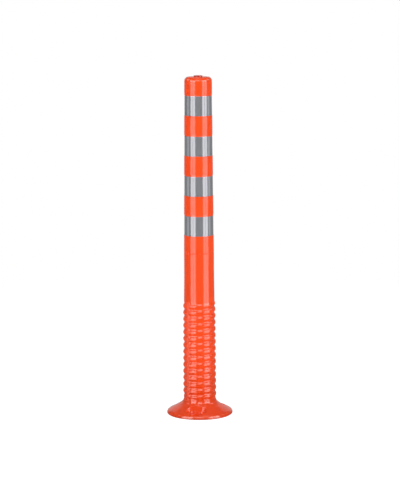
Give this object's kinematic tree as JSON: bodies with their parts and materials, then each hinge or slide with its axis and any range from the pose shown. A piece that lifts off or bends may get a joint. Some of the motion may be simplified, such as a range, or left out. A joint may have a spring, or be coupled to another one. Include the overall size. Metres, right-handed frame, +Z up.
{
  "type": "delineator post",
  "caption": "Tall orange flexible delineator post with silver reflective bands, a ribbed section that bends and springs back, and a round bolt-down base flange.",
  "frame": {"origin": "centre of the underside of the base flange, on the ground", "axes": "+Z up along the post; -Y towards the front, where one bolt pocket is 8 degrees to the left; +X to the right seen from the front"},
  "size_m": [0.194, 0.194, 1],
  "materials": {
    "orange_moulding": "semi-gloss moulded elastomer, EVA or TPU, fluorescent orange",
    "reflective_film": "silver retroreflective sheeting, smooth clear face",
    "plug_plastic": "semi-gloss moulded plastic, slightly darker orange"
  },
  "bodies": {
    "base": {"base_flange": "orange_moulding"},
    "flex_a": {"flex_section_1": "orange_moulding"},
    "flex_b": {"flex_section_2": "orange_moulding"},
    "flex_c": {"flex_section_3": "orange_moulding"},
    "post": {"flex_section_4": "orange_moulding", "post_tube": "orange_moulding", "reflective_band_1": "reflective_film", "reflective_band_2": "reflective_film", "reflective_band_3": "reflective_film", "reflective_band_4": "reflective_film", "vent_plug": "plug_plastic"}
  },
  "joints": [
    {"name": "bend_fore_lower", "type": "hinge", "parent": "base", "child": "flex_a", "pos_m": [0, 0, 0.079], "axis": [1, 0, 0], "range_deg": [-42.5, 42.5], "stiffness_Nm_per_rad": 90, "deforming": ["flex_section_1"]},
    {"name": "bend_fore_upper", "type": "hinge", "parent": "flex_a", "child": "flex_b", "pos_m": [0, 0, 0.153], "axis": [1, 0, 0], "range_deg": [-42.5, 42.5], "stiffness_Nm_per_rad": 90, "deforming": ["flex_section_2"]},
    {"name": "bend_side_lower", "type": "hinge", "parent": "flex_b", "child": "flex_c", "pos_m": [0, 0, 0.227], "axis": [0, 1, 0], "range_deg": [-42.5, 42.5], "stiffness_Nm_per_rad": 90, "deforming": ["flex_section_3"]},
    {"name": "bend_side_upper", "type": "hinge", "parent": "flex_c", "child": "post", "pos_m": [0, 0, 0.301], "axis": [0, 1, 0], "range_deg": [-42.5, 42.5], "stiffness_Nm_per_rad": 90, "deforming": ["flex_section_4"]}
  ],
  "couplings": [
    {"joint": "bend_fore_upper", "follows": "bend_fore_lower", "ratio": 1},
    {"joint": "bend_side_upper", "follows": "bend_side_lower", "ratio": 1}
  ]
}
